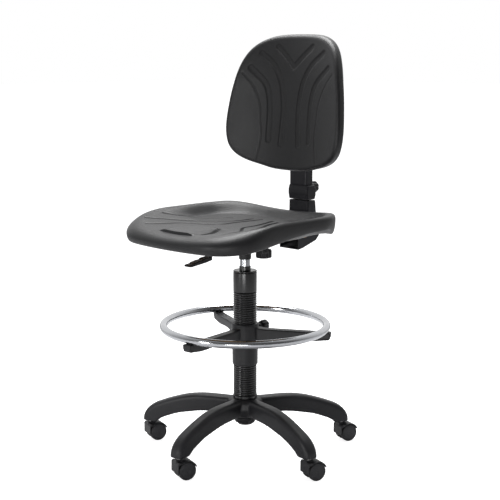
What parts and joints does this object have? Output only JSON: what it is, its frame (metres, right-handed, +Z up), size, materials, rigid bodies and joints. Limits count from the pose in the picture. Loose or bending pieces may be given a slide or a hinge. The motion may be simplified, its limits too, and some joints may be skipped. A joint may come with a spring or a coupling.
{
  "type": "drafting chair",
  "caption": "Drafting chair with a moulded polyurethane seat and backrest, gas lift, sliding foot ring, adjustable back and a caster base.",
  "frame": {"origin": "middle of the chair's footprint at floor level, a few millimetres from the column axis, because the five legs and the casters are not symmetric about it", "axes": "+Z up, the sitter faces -Y, +X is the sitter's left"},
  "size_m": [0.6084, 0.6158, 1.1675],
  "materials": {
    "base_nylon": "satin",
    "column_black": "satin",
    "sleeve_black": "satin",
    "bearing_steel": "satin",
    "chrome": "polished",
    "mechanism_black": "satin",
    "pin_steel": "satin",
    "seat_plywood": "matte",
    "foam_skin": "satin",
    "cover_plastic": "satin",
    "knob_plastic": "satin",
    "caster_plastic": "satin",
    "wheel_plastic": "satin",
    "liner_plastic": "matte",
    "ring_hub_plastic": "satin"
  },
  "bodies": {
    "base": {"star_base": "base_nylon", "column_tube": "column_black", "guide_bush": "sleeve_black", "ribbed_sleeve": "sleeve_black", "sleeve_cap": "sleeve_black", "thrust_bearing": "bearing_steel", "caster_stem_1": "bearing_steel", "caster_stem_2": "bearing_steel", "caster_stem_3": "bearing_steel", "caster_stem_4": "bearing_steel", "caster_stem_5": "bearing_steel"},
    "gas_rod": {"piston_rod": "chrome", "retaining_clip": "bearing_steel"},
    "seat_unit": {"gas_cylinder": "chrome", "taper_socket": "mechanism_black", "mechanism_housing": "mechanism_black", "seat_plate": "mechanism_black", "seat_board": "seat_plywood", "seat_pad": "foam_skin", "lever_pin": "pin_steel", "tilt_pin": "pin_steel", "tilt_spring": "pin_steel"},
    "valve": {"valve_pin": "pin_steel"},
    "lever": {"lever_rod": "mechanism_black", "lever_paddle": "cover_plastic"},
    "tilt_arm": {"tilt_bracket": "mechanism_black"},
    "depth_clamp": {"depth_knob": "knob_plastic", "depth_stud": "pin_steel"},
    "back_arm": {"j_bar": "mechanism_black", "elbow_cover": "cover_plastic", "upright_cover": "cover_plastic"},
    "back_rest": {"back_collar": "cover_plastic", "back_sleeve": "cover_plastic", "back_board": "pin_steel", "back_pad": "foam_skin"},
    "back_clamp": {"back_knob": "knob_plastic"},
    "ring_slider": {"hub_liner": "liner_plastic"},
    "foot_rest": {"ring_spider": "ring_hub_plastic", "foot_ring": "chrome"},
    "ring_clamp": {"ring_knob": "knob_plastic"},
    "caster_1": {"caster_hood_1": "caster_plastic", "caster_axle_1": "bearing_steel"},
    "left_wheel_1": {"wheel_left_1": "wheel_plastic"},
    "right_wheel_1": {"wheel_right_1": "wheel_plastic"},
    "caster_2": {"caster_hood_2": "caster_plastic", "caster_axle_2": "bearing_steel"},
    "left_wheel_2": {"wheel_left_2": "wheel_plastic"},
    "right_wheel_2": {"wheel_right_2": "wheel_plastic"},
    "caster_3": {"caster_hood_3": "caster_plastic", "caster_axle_3": "bearing_steel"},
    "left_wheel_3": {"wheel_left_3": "wheel_plastic"},
    "right_wheel_3": {"wheel_right_3": "wheel_plastic"},
    "caster_4": {"caster_hood_4": "caster_plastic", "caster_axle_4": "bearing_steel"},
    "left_wheel_4": {"wheel_left_4": "wheel_plastic"},
    "right_wheel_4": {"wheel_right_4": "wheel_plastic"},
    "caster_5": {"caster_hood_5": "caster_plastic", "caster_axle_5": "bearing_steel"},
    "left_wheel_5": {"wheel_left_5": "wheel_plastic"},
    "right_wheel_5": {"wheel_right_5": "wheel_plastic"}
  },
  "joints": [
    {"name": "seat_swivel", "type": "hinge", "parent": "base", "child": "gas_rod", "pos_m": [-0.01745, 0.0014, 0.106], "axis": [0, 0, 1], "continuous": true},
    {"name": "seat_lift", "type": "slide", "parent": "gas_rod", "child": "seat_unit", "axis": [0, 0, 1], "range_m": [0, 0.23]},
    {"name": "lever_lift", "type": "hinge", "parent": "seat_unit", "child": "lever", "pos_m": [-0.01745, -0.0436, 0.6], "axis": [-1, 0, 0], "range_deg": [0, 4], "stiffness_Nm_per_rad": 12, "springref_deg": -1.15},
    {"name": "valve_press", "type": "slide", "parent": "seat_unit", "child": "valve", "axis": [0, 0, -1], "range_m": [0, 0.0035]},
    {"name": "back_tilt", "type": "hinge", "parent": "seat_unit", "child": "tilt_arm", "pos_m": [-0.01745, 0.0454, 0.578], "axis": [-1, 0, 0], "range_deg": [-3, 12]},
    {"name": "depth_knob_turn", "type": "hinge", "parent": "tilt_arm", "child": "depth_clamp", "pos_m": [-0.01745, 0.0754, 0.56], "axis": [0, 0, 1], "range_deg": [0, 270]},
    {"name": "back_depth", "type": "slide", "parent": "tilt_arm", "child": "back_arm", "axis": [0, 1, 0], "range_m": [-0.02, 0.02]},
    {"name": "back_height", "type": "slide", "parent": "back_arm", "child": "back_rest", "axis": [0, 0, 1], "range_m": [0, 0.07]},
    {"name": "back_knob_turn", "type": "hinge", "parent": "back_rest", "child": "back_clamp", "pos_m": [-0.01745, 0.2714, 0.73], "axis": [0, 1, 0], "range_deg": [0, 270]},
    {"name": "ring_height", "type": "slide", "parent": "base", "child": "ring_slider", "axis": [0, 0, 1], "range_m": [-0.08, 0.06]},
    {"name": "ring_turn", "type": "hinge", "parent": "ring_slider", "child": "foot_rest", "pos_m": [-0.01745, 0.0014, 0.33], "axis": [0, 0, 1], "continuous": true},
    {"name": "ring_knob_turn", "type": "hinge", "parent": "foot_rest", "child": "ring_clamp", "pos_m": [-0.02268, 0.06117, 0.35], "axis": [-0.0872, 0.9962, 0], "range_deg": [0, 270]},
    {"name": "caster_swivel_1", "type": "hinge", "parent": "base", "child": "caster_1", "pos_m": [0.02392, -0.28715, 0.05], "axis": [0, 0, 1], "continuous": true},
    {"name": "left_wheel_spin_1", "type": "hinge", "parent": "caster_1", "child": "left_wheel_1", "pos_m": [0.02889, -0.27089, 0.025], "axis": [-0.9563, 0.2924, 0], "continuous": true},
    {"name": "right_wheel_spin_1", "type": "hinge", "parent": "caster_1", "child": "right_wheel_1", "pos_m": [0.02889, -0.27089, 0.025], "axis": [-0.9563, 0.2924, 0], "continuous": true},
    {"name": "caster_swivel_2", "type": "hinge", "parent": "base", "child": "caster_2", "pos_m": [0.26976, -0.04842, 0.05], "axis": [0, 0, 1], "continuous": true},
    {"name": "left_wheel_spin_2", "type": "hinge", "parent": "caster_2", "child": "left_wheel_2", "pos_m": [0.27473, -0.03216, 0.025], "axis": [-0.9563, 0.2924, 0], "continuous": true},
    {"name": "right_wheel_spin_2", "type": "hinge", "parent": "caster_2", "child": "right_wheel_2", "pos_m": [0.27473, -0.03216, 0.025], "axis": [-0.9563, 0.2924, 0], "continuous": true},
    {"name": "caster_swivel_3", "type": "hinge", "parent": "base", "child": "caster_3", "pos_m": [0.11868, 0.25916, 0.05], "axis": [0, 0, 1], "continuous": true},
    {"name": "left_wheel_spin_3", "type": "hinge", "parent": "caster_3", "child": "left_wheel_3", "pos_m": [0.12365, 0.27541, 0.025], "axis": [-0.9563, 0.2924, 0], "continuous": true},
    {"name": "right_wheel_spin_3", "type": "hinge", "parent": "caster_3", "child": "right_wheel_3", "pos_m": [0.12365, 0.27541, 0.025], "axis": [-0.9563, 0.2924, 0], "continuous": true},
    {"name": "caster_swivel_4", "type": "hinge", "parent": "base", "child": "caster_4", "pos_m": [-0.22053, 0.21052, 0.05], "axis": [0, 0, 1], "continuous": true},
    {"name": "left_wheel_spin_4", "type": "hinge", "parent": "caster_4", "child": "left_wheel_4", "pos_m": [-0.21556, 0.22678, 0.025], "axis": [-0.9563, 0.2924, 0], "continuous": true},
    {"name": "right_wheel_spin_4", "type": "hinge", "parent": "caster_4", "child": "right_wheel_4", "pos_m": [-0.21556, 0.22678, 0.025], "axis": [-0.9563, 0.2924, 0], "continuous": true},
    {"name": "caster_swivel_5", "type": "hinge", "parent": "base", "child": "caster_5", "pos_m": [-0.27909, -0.12712, 0.05], "axis": [0, 0, 1], "continuous": true},
    {"name": "left_wheel_spin_5", "type": "hinge", "parent": "caster_5", "child": "left_wheel_5", "pos_m": [-0.27413, -0.11086, 0.025], "axis": [-0.9563, 0.2924, 0], "continuous": true},
    {"name": "right_wheel_spin_5", "type": "hinge", "parent": "caster_5", "child": "right_wheel_5", "pos_m": [-0.27413, -0.11086, 0.025], "axis": [-0.9563, 0.2924, 0], "continuous": true}
  ],
  "couplings": [
    {"joint": "valve_press", "follows": "lever_lift", "m_per_rad": 0.045}
  ]
}
